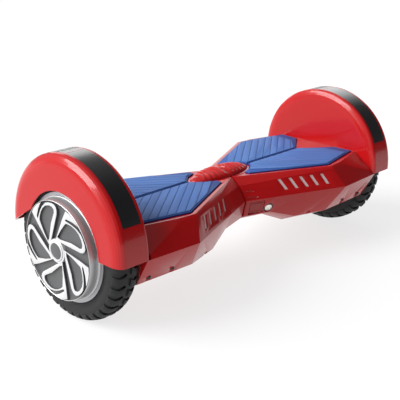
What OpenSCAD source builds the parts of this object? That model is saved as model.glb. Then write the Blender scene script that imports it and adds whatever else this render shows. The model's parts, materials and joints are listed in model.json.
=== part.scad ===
// Two-wheeled self balancing board: two mirrored halves that twist against each other at the waist.
// X runs along the wheel axles, Y points to the rear, Z up. The origin is on the floor under the middle.

/* [Overall] */
// Distance between the middle planes of the two tyres
track = 534; // [500:1:640]
// Width of the body at its widest, front to rear
body_w = 236; // [216:1:284]
// Height of the deck above the floor
deck_h = 138; // [132:1:150]
// Height of the joint between top and bottom shells
seam_h = 106.5; // [104:0.5:110]
// Height of the flat underside above the floor
belly_h = 50; // [44:1:54]

/* [Waist] */
// Width of the body at the waist
neck_w = 106; // [100:1:118]
// Height of the underside at the waist
neck_belly_h = 71; // [68:1:74]
// Gap between the two halves
waist_gap = 0.8; // [0.6:0.1:1.6]
// Distance of the widest corner from the waist
wide_x = 148; // [136:1:168]
// Length of the ribbed bridge on each half
bridge_l = 60; // [52:1:66]
// Height of the ribbed bridge above the deck
bridge_h = 12; // [8:1:15]

/* [Shells] */
// Wall of the plastic shells
wall = 2.5; // [2:0.1:3.2]
// Thickness of the deck before the pad pocket is sunk
deck_t = 7; // [6.4:0.1:8]
// Clearance between pieces that fit together
fit = 0.3; // [0.2:0.05:0.4]

/* [Foot pads] */
// Height of a pad above the deck
pad_rise = 3; // [2:0.5:4]
// Depth of the pad pocket
pocket_d = 4.5; // [4:0.1:5]
// Stroke of a pad on its switches
pad_stroke = 1.2; // [0.8:0.1:1.4]
// Red margin between the deck edge and the pad
pad_margin = 5; // [4:0.5:8]
// Diameter of the plungers under a pad
plunger_d = 10; // [8:0.5:12]

/* [Tyre] */
// Diameter of the tyre
tyre_d = 205; // [200:1:210]
// Width of the tyre
tyre_w = 43; // [40:1:52]
// Diameter of the rim under the tyre
rim_d = 142; // [134:1:148]

/* [Hub motor] */
// Length of the rotor housing
motor_l = 38; // [36:1:40]
// Inner diameter of the rotor housing
rotor_bore = 124; // [120:1:126]
// Radial thickness of the magnets
magnet_t = 3.6; // [3:0.1:4]
// Number of magnets
magnet_n = 20; // [16:2:30]
// Air gap between magnets and stator
air_gap = 0.6; // [0.4:0.1:1]
// Length of the stator stack
stator_l = 22; // [18:1:22]
// Number of stator slots
slot_n = 18; // [12:3:27]
// Diameter of the axle
axle_d = 15; // [14:0.5:16]
// Running clearance on the radius between an axle and its bearings
running = 0.04; // [0.02:0.01:0.08]
// Outer diameter of a wheel bearing
bearing_od = 32; // [30:1:34]
// Width of a wheel bearing
bearing_w = 9; // [8:0.5:10]

/* [Hub cover] */
// Diameter of the face of the hub cover
hub_face_d = 127; // [118:1:130]
// Diameter of the hub cover at its foot
hub_foot_d = 140; // [132:1:141]
// Height of the hub cover
hub_rise = 16; // [12:0.5:18]
// Diameter of the centre cap
hub_cap_d = 26.6; // [24:0.2:30]

/* [Fenders] */
// Outer diameter of a fender
fender_d = 228; // [226:1:236]
// Height of the fender centre above the axle
fender_lift = 11; // [9:0.5:13]
// Width of the flat crown of a fender
crown_w = 34; // [32:1:38]
// Wall of a fender
fender_wall = 2.2; // [1.8:0.1:2.6]
// Gap between the tyre and each side of the fender
side_gap = 2.3; // [2:0.1:4]
// Diameter of the wheel opening in the outer side
arch_d = 148; // [145:1:152]
// Height of the wheel opening's centre above the axle
arch_lift = 3; // [0:0.5:5]
// Width of a light strip
strip_w = 29; // [26:1:30]
// Thickness of a light strip
strip_t = 2; // [1.6:0.1:2.4]
// Angle above the horizon where a light strip ends
strip_end = 21; // [14:1:30]

/* [Waist pivot] */
// Outer diameter of the pivot shaft
shaft_d = 30; // [28:1:32]
// Bore of the pivot shaft for the wiring
shaft_bore = 20; // [18:1:22]
// Wall of a pivot bush
bush_t = 3; // [2.5:0.5:4]
// Length of a pivot bush
bush_l = 14; // [10:1:16]
// Length of a frame's pivot boss
boss_l = 55; // [50:1:60]
// Wall of a frame's pivot boss
boss_t = 5; // [4:0.5:6]

/* [Frames] */
// Thickness of the frame plate
plate_t = 4; // [3:0.5:5]
// Gap between the seam and the underside of the frame plate
plate_lift = 5.5; // [5:0.5:7]
// Length of the axle block
block_l = 24; // [20:1:26]
// Width of the axle block
block_w = 48; // [44:1:54]
// Depth of the clamp cap under the axle
clamp_h = 17; // [14:1:20]
// Diameter of the clamp screws
clamp_screw_d = 6; // [5:0.5:7]
// Diameter of the shell screws
shell_screw_d = 4; // [3:0.5:5]

/* [Electrics] */
// Length, width and height of the battery pack
battery = [116, 88, 53]; // [40:1:120]
// Length, width and thickness of the main board
main_pcb = [112, 80, 1.6]; // [1:0.1:120]
// Diameter of the power button
button_d = 12; // [11:0.5:14]
// Stroke of the power button
button_stroke = 1.2; // [0.8:0.1:1.6]
// Thread diameter of the charge socket
socket_d = 16; // [15:0.5:17]
// Width, height and thickness of the charge port cover
port_cover = [25, 21, 2]; // [1:0.1:27]

/* [Hidden] */
$fn = 96;
tiny = 0.01;

// Colours
RED = "#c5161d";
BLUE = "#4a78c8";
SMOKE = "#2c2e31";
GLASS = "#d9a0a0";
ALLOY = "#b9bcc0";
STEEL = "#8b8f94";
DARK = "#4c4e52";
RUBBER = "#26292b";
COPPER = "#b5683a";
BOARD = "#1f6b3a";
WRAP = "#2d4fa8";

// Heights and places along the axle that the pieces share
axle_h = tyre_d / 2;
wheel_x = track / 2;
fender_in = wheel_x - tyre_w / 2 - side_gap - fender_wall;
fender_out = wheel_x + tyre_w / 2 + side_gap + fender_wall;
top_end = fender_in - fit;
bottom_end = fender_in + 6;
cavity_end = top_end - wall;
neck_x = waist_gap / 2;
wide_seam_x = wide_x + 13;
shoulder_x = wide_x + 28;
fender_h = axle_h + fender_lift;
fender_foot = seam_h + fit;
plate_z = seam_h + plate_lift;
plate_top = plate_z + plate_t;
ceiling = deck_h - deck_t;

// Half widths and heights of the body's edges against the distance from the waist
deck_y = [[0, neck_w * 0.23], [wide_x, body_w / 2 - 21], [shoulder_x, body_w / 2 - 24], [bottom_end, body_w / 2 - 43]];
fold_y = [[0, neck_w * 0.37], [wide_x, body_w / 2 - 17], [shoulder_x, body_w / 2 - 20], [bottom_end, body_w / 2 - 6.5]];
fold_z = [[0, deck_h - 11], [wide_x, deck_h - 3.5], [shoulder_x, deck_h - 3.5], [bottom_end, seam_h + 3.5]];
seam_y = [[0, neck_w / 2], [wide_seam_x, body_w / 2], [bottom_end, body_w / 2 - 5]];
edge_y = [[0, neck_w * 0.44], [50, body_w / 2 - 58], [92, body_w / 2 - 43], [wide_x, body_w / 2 - 28], [bottom_end, body_w / 2 - 28]];
edge_z = [[0, neck_belly_h + 9], [50, neck_belly_h + 8], [92, belly_h + 15], [wide_x, belly_h + 14], [bottom_end, belly_h + 16]];
belly_y = [[0, neck_w * 0.28], [50, neck_w * 0.4], [92, body_w / 2 - 70], [wide_x, body_w / 2 - 58], [bottom_end, body_w / 2 - 58]];
belly_z = [[0, neck_belly_h], [50, neck_belly_h], [92, belly_h + 2], [wide_x, belly_h], [bottom_end, belly_h]];
stations = [0, 50, 92, wide_x, wide_seam_x, shoulder_x, bottom_end];

// Left and right copies: the right one is drawn, the left one is its mirror image
module on_side(side) {
    if (side > 0) children();
    else mirror([1, 0, 0]) children();
}

// Front and rear copies of what is drawn on the front
module front_and_rear() {
    children();
    mirror([0, 1, 0]) children();
}

// Local X becomes the rear, local Y up and local Z outward, with the origin on the wheel's centre
module on_wheel(h = axle_h) {
    translate([wheel_x, 0, h]) rotate([90, 0, 90]) children();
}

module ring(r_in, r_out, z0, z1) {
    translate([0, 0, z0]) difference() {
        cylinder(r = r_out, h = z1 - z0);
        translate([0, 0, -1]) cylinder(r = r_in, h = z1 - z0 + 2);
    }
}

// Half of the body's outline at one distance from the waist, from the underside up to the deck
function half_outline(x) = [
    [lookup(x, belly_y), lookup(x, belly_z)],
    [lookup(x, edge_y), lookup(x, edge_z)],
    [lookup(x, seam_y), seam_h],
    [lookup(x, fold_y), lookup(x, fold_z)],
    [lookup(x, deck_y), deck_h]
];
function whole_outline(x) = let(h = half_outline(x), n = len(h))
    [for (i = [0:2 * n - 1]) i < n ? h[i] : [-h[2 * n - 1 - i][0], h[2 * n - 1 - i][1]]];

// A convex outline moved inwards by t
function edge_normal(a, b) = let(d = b - a) [d[1], -d[0]] / norm(d);
function inset(p, t) = let(n = len(p)) [for (i = [0:n - 1])
    let(
        n1 = edge_normal(p[(i + n - 1) % n], p[i]),
        n2 = edge_normal(p[i], p[(i + 1) % n])
    )
    p[i] - t * (n1 + n2) / (1 + n1 * n2)];

// Solid through the outlines at all stations, from x0 to x1, with its sides moved inwards by t
module body_loft(x0, x1, t = 0) {
    xs = concat([x0], [for (x = stations) if (x > x0 + tiny && x < x1 - tiny) x], [x1]);
    rings = [for (x = xs) inset(whole_outline(x), t)];
    n = len(rings[0]);
    points = [for (i = [0:len(xs) - 1]) for (p = rings[i]) [xs[i], p[0], p[1]]];
    // each side is split so that its ridge runs out to the widest point of the seam, the same on front and rear
    sides = [for (i = [0:len(xs) - 2]) for (j = [0:n - 1])
        let(a = i * n + j, b = i * n + (j + 1) % n)
        each j < 2 || j == 5 || j == 6
            ? [[a, a + n, b + n], [a, b + n, b]]
            : [[a, a + n, b], [b, a + n, b + n]]];
    caps = [[for (j = [0:n - 1]) j], [for (j = [n - 1:-1:0]) (len(xs) - 1) * n + j]];
    polyhedron(points, concat(sides, caps));
}

module slab(z0, z1) {
    translate([-10, -body_w, z0]) cube([track, 2 * body_w, z1 - z0]);
}

module cavity() {
    intersection() {
        body_loft(-1, cavity_end, wall);
        slab(0, ceiling);
    }
}

// ---------------------------------------------------------------- wheel

// Tyre section, from one bead round the tread to the other, grown outwards by g
bead_r = rim_d / 2;
bead_w = motor_l - 4.4;
sidewall_r = bead_r + 13;
function tread(g) = [for (a = [0:12:180])
    let(c = cos(a), s = sin(a))
    [sidewall_r + (tyre_d / 2 + g - sidewall_r) * pow(s, 0.8), (tyre_w / 2 + g) * sign(c) * pow(abs(c), 0.8)]];

module tyre() {
    color(RUBBER) on_wheel() rotate_extrude() polygon(concat(
        [[bead_r, bead_w / 2], [bead_r + 5, bead_w / 2]], tread(0), [[bead_r + 5, -bead_w / 2], [bead_r, -bead_w / 2]]
    ));
}

// Space that the shells leave for the turning tyre
module tyre_room() {
    on_wheel() rotate_extrude() polygon(concat(
        [[0, tyre_w], [sidewall_r, tyre_w]], [for (p = tread(3.2)) if (p[1] < 5) p],
        [[0, -tyre_w / 2 - 3.2]]
    ));
}

plate_in = motor_l / 2 - 4;
bearing_z = motor_l / 2 - 11;
hub_bore = axle_d / 2 + 1;
boss_r = bearing_od / 2 + 4;

module motor_housing() {
    color(ALLOY) on_wheel() difference() {
        union() {
            ring(rotor_bore / 2, bead_r, -motor_l / 2, motor_l / 2);
            ring(hub_bore, rotor_bore / 2, plate_in, motor_l / 2);
            ring(hub_bore, boss_r, bearing_z, plate_in);
            ring(rotor_bore / 2, bead_r + 3, motor_l / 2 - 2, motor_l / 2);
            ring(rotor_bore / 2, bead_r + 3, -motor_l / 2, -motor_l / 2 + 2);
        }
        translate([0, 0, bearing_z - 1]) cylinder(d = bearing_od, h = bearing_w + 1);
    }
}

module motor_cover() {
    color(ALLOY) on_wheel() difference() {
        union() {
            ring(hub_bore, rotor_bore / 2 + 4, -motor_l / 2 - 2, -motor_l / 2);
            ring(hub_bore, rotor_bore / 2 - 0.2, -motor_l / 2, -plate_in);
            ring(hub_bore, boss_r, -plate_in, -bearing_z);
        }
        translate([0, 0, -bearing_z - bearing_w]) cylinder(d = bearing_od, h = bearing_w + 1);
        for (a = [0:60:300]) rotate(a) translate([rotor_bore / 2 + 1.5, 0, -motor_l / 2 - 3]) cylinder(d = 3, h = 2);
    }
}

module wheel_bearings() {
    color(STEEL) on_wheel() for (z = [bearing_z, -bearing_z - bearing_w])
        ring(axle_d / 2 + running, bearing_od / 2, z, z + bearing_w);
}

module motor_magnets() {
    r = rotor_bore / 2 - 0.05;
    color(DARK) on_wheel() difference() {
        ring(r - magnet_t, r, -stator_l / 2 - 1, stator_l / 2 + 1);
        for (i = [0:magnet_n - 1]) rotate(i * 360 / magnet_n) translate([r - magnet_t - 1, -0.6, -stator_l])
            cube([magnet_t + 2, 1.2, 2 * stator_l]);
    }
}

stator_r = rotor_bore / 2 - magnet_t - air_gap;
hub_r = boss_r + 4;
coil_in = hub_r + 9;
coil_out = stator_r - 3;
coil_w = 6;
shoulder_r = axle_d / 2 + 2.5;

module slots(r0, r1, w, z0, z1) {
    for (i = [0:slot_n - 1]) rotate(i * 360 / slot_n) translate([r0, -w / 2, z0]) cube([r1 - r0, w, z1 - z0]);
}

module stator_core() {
    color(STEEL) on_wheel() difference() {
        union() {
            ring(hub_r - tiny, stator_r, -stator_l / 2, stator_l / 2);
            ring(shoulder_r, hub_r, -bearing_z + 1, bearing_z - 1);
        }
        slots(coil_in, stator_r + 1, coil_w, -stator_l, stator_l);
    }
}

module stator_windings() {
    color(COPPER) on_wheel() {
        end = stator_l / 2 + 2.5;
        slots(coil_in + 0.6, coil_out - 0.5, coil_w, -end + 0.5, end - 0.5);
        ring(coil_in + 0.1, coil_out, stator_l / 2, end);
        ring(coil_in + 0.1, coil_out, -end, -stator_l / 2);
    }
}

block_x = cavity_end - 1 - block_l;

module wheel_axle() {
    inner = block_x - wheel_x;
    color(STEEL) on_wheel() {
        translate([0, 0, inner]) cylinder(d = axle_d, h = motor_l / 2 - 1.5 - inner);
        translate([0, 0, -bearing_z + 1]) cylinder(r = shoulder_r, h = 2 * (bearing_z - 1));
    }
}

cap_z = motor_l / 2 + hub_rise;

module hub_cover() {
    z0 = motor_l / 2;
    foot = hub_foot_d / 2;
    face = hub_face_d / 2;
    seat = hub_cap_d / 2 - 1.2;
    color(ALLOY) on_wheel() difference() {
        rotate_extrude() polygon([
            [foot, z0], [foot, z0 + 2], [face + 1.2, cap_z - 1.2], [face - 0.5, cap_z], [seat, cap_z],
            [seat, cap_z - 3], [face - 3, cap_z - 3], [foot - 3, z0 + 1], [foot - 3, z0]
        ]);
        for (i = [0:4]) rotate(i * 72) translate([0, 0, cap_z - 1.2]) linear_extrude(2)
            polygon([[20, -6], [face - 8, -15], [face - 5, 8], [face - 14, 12]]);
    }
}

module hub_cap() {
    color(DARK) on_wheel() {
        translate([0, 0, cap_z]) cylinder(d = hub_cap_d, h = 1.3);
        translate([0, 0, cap_z - 4]) cylinder(d = hub_cap_d - 2.6, h = 4);
    }
}

// ---------------------------------------------------------------- fender

crown_r = fender_d / 2;
crown_in = -crown_w / 2 - 2;
crown_out = crown_w / 2 - 2;
skin_t = strip_t + 1.8;

// Section of the fender from the wheel's outside over the crown to its inside, moved inwards by g
shoulder = 17;
function fender_section(g) = let(
        out = fender_out - wheel_x - g,
        in = fender_in - wheel_x + g,
        top = crown_r - (g > 0 ? skin_t : 0),
        out_h = out - crown_out + g * 0.6,
        in_h = crown_in - in + g * 0.6
    ) concat(
        [[0, out]],
        [for (a = [0:15:90]) [top - shoulder * (1 - sin(a)), out - out_h * (1 - cos(a))]],
        [for (a = [90:-15:0]) [top - shoulder * (1 - sin(a)), in + in_h * (1 - cos(a))]],
        [[0, in]]
    );

module strip_sector(side, r0, r1, w, play) {
    from = side < 0 ? 90 + play : strip_end + play;
    sweep = 90 - strip_end - 2 * play;
    mid = (crown_in + crown_out) / 2;
    on_wheel(fender_h) rotate([0, 0, from]) rotate_extrude(angle = sweep)
        translate([r0, mid - w / 2]) square([r1 - r0, w]);
}

module fender() {
    color(RED) difference() {
        on_wheel(fender_h) rotate_extrude() polygon(fender_section(0));
        on_wheel(fender_h) rotate_extrude() polygon(fender_section(fender_wall));
        // open underneath, with a rising edge behind the wheel
        slab(-200, fender_foot);
        on_wheel() translate([arch_d / 2 - 2, arch_d / 2 - 40, 0]) rotate(-32) translate([-30, -60, 0])
            cube([120, 60, 60]);
        // wheel opening in the outer side, axle opening in the inner side
        on_wheel(axle_h + arch_lift) cylinder(d = arch_d, h = tyre_w);
        on_wheel() translate([0, 0, -tyre_w]) cylinder(d = axle_d + 8, h = tyre_w);
        for (side = [-1, 1]) strip_sector(side, crown_r - strip_t, crown_r + 2, strip_w, 0.4);
    }
}

module light_strip(side) {
    color(SMOKE) strip_sector(side, crown_r - strip_t + 0.05, crown_r, strip_w - 0.4, 0.5);
}

// ---------------------------------------------------------------- shells

// Slanted slots in the diagonal sides, at their tops
slot_x = [for (i = [0:4]) wide_x - 20 - 16.6 * i];
slot_top = seam_h + 23;
slot_bottom = seam_h + 7.5;
slot_lean = 6;
slot_w = 5.2;

module slot_bars(play) {
    for (x = slot_x) {
        y = (lookup(x, seam_y) + lookup(x, fold_y)) / 2;
        w = slot_w / 2 - play;
        front_and_rear() translate([0, 14 - y, 0]) rotate([90, 0, 0]) linear_extrude(28) polygon([
            [x - w, slot_top], [x + w, slot_top], [x + slot_lean + w, slot_bottom], [x + slot_lean - w, slot_bottom]
        ]);
    }
}

// Outline of the room for a foot pad on the deck, moved inwards by p
function pad_edge(x, p) = lookup(x, deck_y) - pad_margin - p;
lobe_x = top_end - 3;
notch_x = wide_x + 36;
function pad_half(p) = [
    [bridge_l + 2 + p, 5], [bridge_l * 0.78, 17 + p], [bridge_l * 0.5, 23 + p],
    [bridge_l * 0.5, pad_edge(bridge_l * 0.5, p)], [wide_x + 2, pad_edge(wide_x + 2, p)],
    [lobe_x - p, pad_edge(lobe_x, p)], [lobe_x - 3 - p, 38 + p]
];
module pad_outline(p) {
    h = pad_half(p);
    n = len(h);
    polygon(concat(h, [[notch_x - p, 0]], [for (i = [n - 1:-1:0]) [h[i][0], -h[i][1]]]));
}

plungers = [[wide_x - 38, 50], [wide_x - 38, -50], [wide_x + 42, 45], [wide_x + 42, -45]];
module at_plungers() {
    for (p = plungers) translate([p[0], p[1], 0]) children();
}

axle_hole = axle_d / 2 + 2;

module top_shell() {
    color(RED) difference() {
        intersection() {
            body_loft(neck_x, top_end);
            slab(seam_h, deck_h + 1);
        }
        cavity();
        translate([0, 0, deck_h - pocket_d]) linear_extrude(pocket_d + 1) pad_outline(0);
        at_plungers() translate([0, 0, ceiling - 1]) cylinder(d = plunger_d + 2, h = deck_t + 2);
        slot_bars(0);
        translate([cavity_end - 1, 0, axle_h]) rotate([0, 90, 0]) cylinder(r = axle_hole, h = wall + 2);
    }
}

module slot_lenses() {
    color(GLASS) intersection() {
        slot_bars(0.15);
        difference() {
            body_loft(neck_x, top_end, 0.8);
            body_loft(-1, cavity_end, wall);
        }
    }
}

module ribbed_bridge() {
    base = lookup(0, deck_y);
    color(RED) translate([0, 0, deck_h]) hull() {
        translate([neck_x, 0, 0]) rotate([90, 0, 90]) linear_extrude(1)
            polygon([[-base + 2, 0], [base - 2, 0], [base * 0.7, bridge_h * 0.75], [base * 0.3, bridge_h],
                [-base * 0.3, bridge_h], [-base * 0.7, bridge_h * 0.75]]);
        translate([bridge_l - 16, 0, 0]) cylinder(r = 14, h = 2, $fn = 32);
        translate([bridge_l - 22, 0, 0]) cylinder(r = 8, h = bridge_h * 0.5, $fn = 32);
    }
}

// Screws that come up through the underside into the frame
screw_at = [[wide_x - 33, body_w / 2 - 38], [shoulder_x + 12, body_w / 2 - 26], [cavity_end - 9, body_w / 2 - 26]];
screw_head_z = belly_h + 24;
module at_shell_screws() {
    for (p = screw_at) for (s = [-1, 1]) translate([p[0], s * p[1], 0]) children();
}

// Places on the front side of the right bottom shell, with Z pointing out of its sloping wall
face_plan = 23.7;
module on_face(x, z, slope) {
    u = (z - lookup(x, edge_z)) / (seam_h - lookup(x, edge_z));
    y = lookup(x, edge_y) + u * (lookup(x, seam_y) - lookup(x, edge_y));
    translate([x, -y, z]) rotate([90 + slope, 0, -face_plan]) children();
}
module at_button() {
    on_face(42, seam_h - 18, 23) children();
}
module at_port() {
    on_face(20.5, seam_h - 14, 17) children();
}
block_t = 9;

module bottom_shell(side) {
    color(RED) difference() {
        union() {
            difference() {
                intersection() {
                    body_loft(neck_x, bottom_end);
                    slab(0, seam_h);
                }
                cavity();
                tyre_room();
            }
            intersection() {
                at_shell_screws() translate([0, 0, belly_h]) cylinder(d = shell_screw_d + 7, h = plate_z - belly_h);
                body_loft(neck_x, cavity_end, wall / 2);
                slab(0, plate_z);
            }
            if (side > 0) intersection() {
                union() {
                    at_port() translate([-18, -16, -block_t]) cube([36, 32, block_t + 4]);
                    at_button() translate([0, 0, -block_t]) cylinder(d = button_d + 10, h = block_t + 4);
                }
                body_loft(neck_x, cavity_end, wall / 2);
                slab(0, seam_h);
            }
        }
        at_shell_screws() translate([0, 0, 0]) cylinder(d = shell_screw_d + 0.2, h = plate_z + 1);
        at_shell_screws() cylinder(d = shell_screw_d + 4.4, h = screw_head_z);
        translate([cavity_end - 1, 0, axle_h]) rotate([0, 90, 0]) cylinder(r = axle_hole, h = wall + 20);
        if (side > 0) {
            at_port() {
                pw = port_cover[0] + 1.2;
                ph = port_cover[1] + 1.2;
                translate([-pw / 2, -ph / 2, -port_cover[2] - 1.8]) cube([pw, ph, 20]);
                translate([0, 0, -30]) cylinder(d = socket_d, h = 40);
            }
            at_button() {
                translate([0, 0, -2]) cylinder(d = button_d + 4, h = 20);
                translate([0, 0, -30]) cylinder(d = button_d + 1.6, h = 40);
            }
        }
    }
}

module shell_screws() {
    color(STEEL) at_shell_screws() {
        translate([0, 0, screw_head_z - 3]) cylinder(d = shell_screw_d + 4, h = 3);
        translate([0, 0, screw_head_z]) cylinder(d = shell_screw_d, h = plate_top - screw_head_z);
    }
}

// ---------------------------------------------------------------- foot pads

pad_top = deck_h + pad_rise;
pad_bottom = deck_h - pocket_d + pad_stroke + 0.5;
switch_top = ceiling - 5;

module foot_pad() {
    color(BLUE) {
        translate([0, 0, pad_bottom]) linear_extrude(pad_top - pad_bottom) pad_outline(0.5);
        at_plungers() translate([0, 0, switch_top + pad_stroke + 0.3]) cylinder(d = plunger_d, h = pad_bottom - switch_top);
    }
}

board_z = plate_top + 2;
board_t = 1.6;
board_x = [wide_x - 50, wide_x + 54];

module gyro_board() {
    color(BOARD) difference() {
        translate([board_x[0], -58, board_z]) cube([board_x[1] - board_x[0], 116, board_t]);
        translate([board_x[0] + 28, -34, board_z - 1]) cube([48, 68, board_t + 2]);
    }
}

module pad_switches() {
    color(DARK) at_plungers() translate([-6, -6, board_z + board_t]) cube([12, 12, switch_top - board_z - board_t]);
}

// ---------------------------------------------------------------- frames and pivot

shaft_r = shaft_d / 2;
bush_r = shaft_r + bush_t;
boss_x = 3;
boss_r_out = bush_r + boss_t;
plate_x = block_x + block_l;

module frame_plate() {
    half = [
        [boss_x + 17, lookup(20, seam_y) - 22], [boss_x + 57, lookup(60, seam_y) - 26],
        [wide_x - 40, lookup(wide_x - 40, seam_y) - 15], [shoulder_x + 4, body_w / 2 - 17.5], [plate_x, body_w / 2 - 20]
    ];
    n = len(half);
    translate([0, 0, plate_z]) linear_extrude(plate_t)
        polygon(concat([for (p = half) [p[0], -p[1]]], [for (i = [n - 1:-1:0]) half[i]]));
}

clamp_x = [block_x + 5, block_x + block_l - 5];
clamp_y = axle_d / 2 + 8;
module at_clamp_screws() {
    for (x = clamp_x) for (y = [-clamp_y, clamp_y]) translate([x, y, 0]) children();
}

module along_x(x0, x1, d) {
    translate([x0, 0, axle_h]) rotate([0, 90, 0]) cylinder(d = d, h = x1 - x0);
}

rib_y = 48;
module frame(side) {
    bore = side > 0 ? 2 * bush_r : shaft_d;
    color(ALLOY) difference() {
        union() {
            frame_plate();
            along_x(boss_x, boss_x + boss_l, 2 * boss_r_out);
            translate([block_x, -block_w / 2, axle_h]) cube([block_l, block_w, plate_z - axle_h]);
            for (s = [-1, 1]) {
                translate([boss_x + boss_l - 4, s * (boss_r_out - 2) - 2, axle_h]) cube([38, 4, plate_z - axle_h]);
                translate([wide_x - 50, s * (rib_y + 2) - 2, plate_z - 24]) cube([plate_x - wide_x + 50, 4, 24]);
            }
            for (x = board_x) for (y = [-50, 0, 50]) translate([x + (x < wide_x ? 6 : -6), y, plate_z])
                cylinder(d = 7, h = board_z - plate_z);
        }
        along_x(boss_x - 1, boss_x + boss_l + 1, bore);
        if (side > 0) along_x(boss_x + boss_l, shaft_end + 2, shaft_d + 8);
        along_x(block_x - 1, plate_x + 1, axle_d);
        at_clamp_screws() translate([0, 0, axle_h - 1]) cylinder(d = clamp_screw_d, h = plate_top - axle_h + 2);
        at_shell_screws() translate([0, 0, plate_z - 1]) cylinder(d = shell_screw_d, h = plate_t + 2);
    }
}

module axle_clamp() {
    color(STEEL) difference() {
        translate([block_x, -block_w / 2, axle_h - clamp_h]) cube([block_l, block_w, clamp_h - 0.2]);
        along_x(block_x - 1, plate_x + 1, axle_d);
        at_clamp_screws() translate([0, 0, axle_h - clamp_h - 1]) cylinder(d = clamp_screw_d, h = clamp_h + 2);
    }
}

module clamp_screws() {
    z0 = axle_h - clamp_h;
    color(DARK) at_clamp_screws() {
        translate([0, 0, z0]) cylinder(d = clamp_screw_d, h = plate_z - z0);
        translate([0, 0, z0 - 5]) cylinder(d = clamp_screw_d + 4, h = 5);
    }
}

shaft_end = boss_x + boss_l + 5;
clip_x = boss_x + boss_l + fit;
clip_t = 1.6;
groove_r = shaft_r - 1.2;

// The shaft is held in the left frame and turns in the right frame's bushes
module pivot_shaft() {
    color(STEEL) difference() {
        along_x(-boss_x - boss_l, shaft_end, shaft_d);
        along_x(-boss_x - boss_l - 1, shaft_end + 1, shaft_bore);
        difference() {
            along_x(clip_x, clip_x + clip_t, shaft_d + 2);
            along_x(clip_x - 1, clip_x + clip_t + 1, 2 * groove_r);
        }
    }
}

module pivot_circlip() {
    color(DARK) difference() {
        along_x(clip_x, clip_x + clip_t, shaft_d + 5);
        along_x(clip_x - 1, clip_x + clip_t + 1, 2 * groove_r);
    }
}

module pivot_bushes() {
    color(COPPER) for (x = [boss_x, boss_x + boss_l - bush_l]) difference() {
        along_x(x, x + bush_l, 2 * bush_r);
        along_x(x - 1, x + bush_l + 1, shaft_d + 2 * running);
    }
}

// ---------------------------------------------------------------- electrics

pack_x = wide_x - 56;
pack_z = lookup(pack_x, belly_z) + wall + fit;

module battery_pack() {
    color(WRAP) translate([-pack_x - battery[0], -battery[1] / 2, pack_z]) cube(battery);
}

module battery_bracket() {
    top = pack_z + battery[2];
    color(STEEL) {
        translate([-pack_x - battery[0] + 20, -battery[1] / 2, top]) cube([battery[0] - 40, battery[1], 2]);
        for (x = [-pack_x - 34, -pack_x - battery[0] + 26]) translate([x, -18, top + 2]) cube([8, 36, plate_z - top - 2]);
    }
}

pcb_z = plate_z - 12;
module main_board() {
    color(BOARD) {
        translate([pack_x, -main_pcb[1] / 2, pcb_z - main_pcb[2]]) cube(main_pcb);
        for (x = [pack_x + 6, pack_x + main_pcb[0] - 24]) for (y = [-34, 34]) translate([x, y, pcb_z]) cylinder(d = 7, h = 12);
        translate([pack_x + 24, -11, pcb_z]) cube([52, 22, 12]);
        translate([pack_x, -10, pcb_z - main_pcb[2] - 10]) cube([12, 20, 10]);
        for (y = [-24, 24]) translate([pack_x + 40, y, pcb_z - main_pcb[2] - 26]) cylinder(d = 18, h = 26);
    }
}

lead_d = 8;
lead_z = axle_h - shaft_bore / 2 + lead_d / 2 + 0.2;
module wiring_harness() {
    color(RUBBER) translate([-pack_x + fit, 0, lead_z]) rotate([0, 90, 0]) cylinder(d = lead_d, h = 2 * pack_x - 2 * fit);
}

module speaker() {
    color(DARK) translate([wide_x + 26, 0, belly_h + wall]) {
        cylinder(d = 46, h = 4);
        cylinder(d = 34, h = 14);
    }
}

cap_in = 8;
module power_button() {
    color(ALLOY) at_button() translate([0, 0, -cap_in]) cylinder(d = button_d, h = cap_in + 0.6);
}

module button_housing() {
    color(DARK) at_button() {
        difference() {
            translate([0, 0, -2]) cylinder(d = button_d + 3.6, h = 1.2);
            translate([0, 0, -3]) cylinder(d = button_d + 0.8, h = 3);
        }
        difference() {
            translate([0, 0, -cap_in - 12]) cylinder(d = button_d + 1.6, h = cap_in + 10);
            translate([0, 0, -cap_in - button_stroke - 0.5]) cylinder(d = button_d + 0.8, h = cap_in + 10);
        }
    }
}

module charge_socket() {
    depth = port_cover[2] + 1.8;
    color(DARK) at_port() difference() {
        translate([0, 0, -depth - 14]) cylinder(d = socket_d, h = 14);
        translate([0, 0, -depth - 10]) cylinder(d = socket_d - 4, h = 20);
    }
}

hinge_in = 1;
module charge_port_cover() {
    w = port_cover[0];
    h = port_cover[1];
    t = port_cover[2];
    color(RUBBER) at_port() {
        translate([-w / 2, -h / 2, -t]) cube([w, h - hinge_in, t]);
        translate([-w / 2, h / 2 - hinge_in, -t / 2]) rotate([0, 90, 0]) cylinder(d = t, h = w);
    }
}

on_side(-1) frame(-1);  // frame_left
on_side(1) frame(1);  // frame_right
on_side(-1) axle_clamp();  // axle_clamp_left
on_side(1) axle_clamp();  // axle_clamp_right
on_side(-1) clamp_screws();  // clamp_screws_left
on_side(1) clamp_screws();  // clamp_screws_right
on_side(-1) top_shell();  // top_shell_left
on_side(1) top_shell();  // top_shell_right
on_side(-1) bottom_shell(-1);  // bottom_shell_left
on_side(1) bottom_shell(1);  // bottom_shell_right
on_side(-1) shell_screws();  // shell_screws_left
on_side(1) shell_screws();  // shell_screws_right
on_side(-1) fender();  // fender_left
on_side(1) fender();  // fender_right
on_side(-1) slot_lenses();  // slot_lenses_left
on_side(1) slot_lenses();  // slot_lenses_right
on_side(-1) ribbed_bridge();  // ribbed_bridge_left
on_side(1) ribbed_bridge();  // ribbed_bridge_right
on_side(-1) foot_pad();  // foot_pad_left
on_side(1) foot_pad();  // foot_pad_right
on_side(-1) pad_switches();  // pad_switches_left
on_side(1) pad_switches();  // pad_switches_right
on_side(-1) gyro_board();  // gyro_board_left
on_side(1) gyro_board();  // gyro_board_right
on_side(-1) wheel_axle();  // wheel_axle_left
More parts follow.
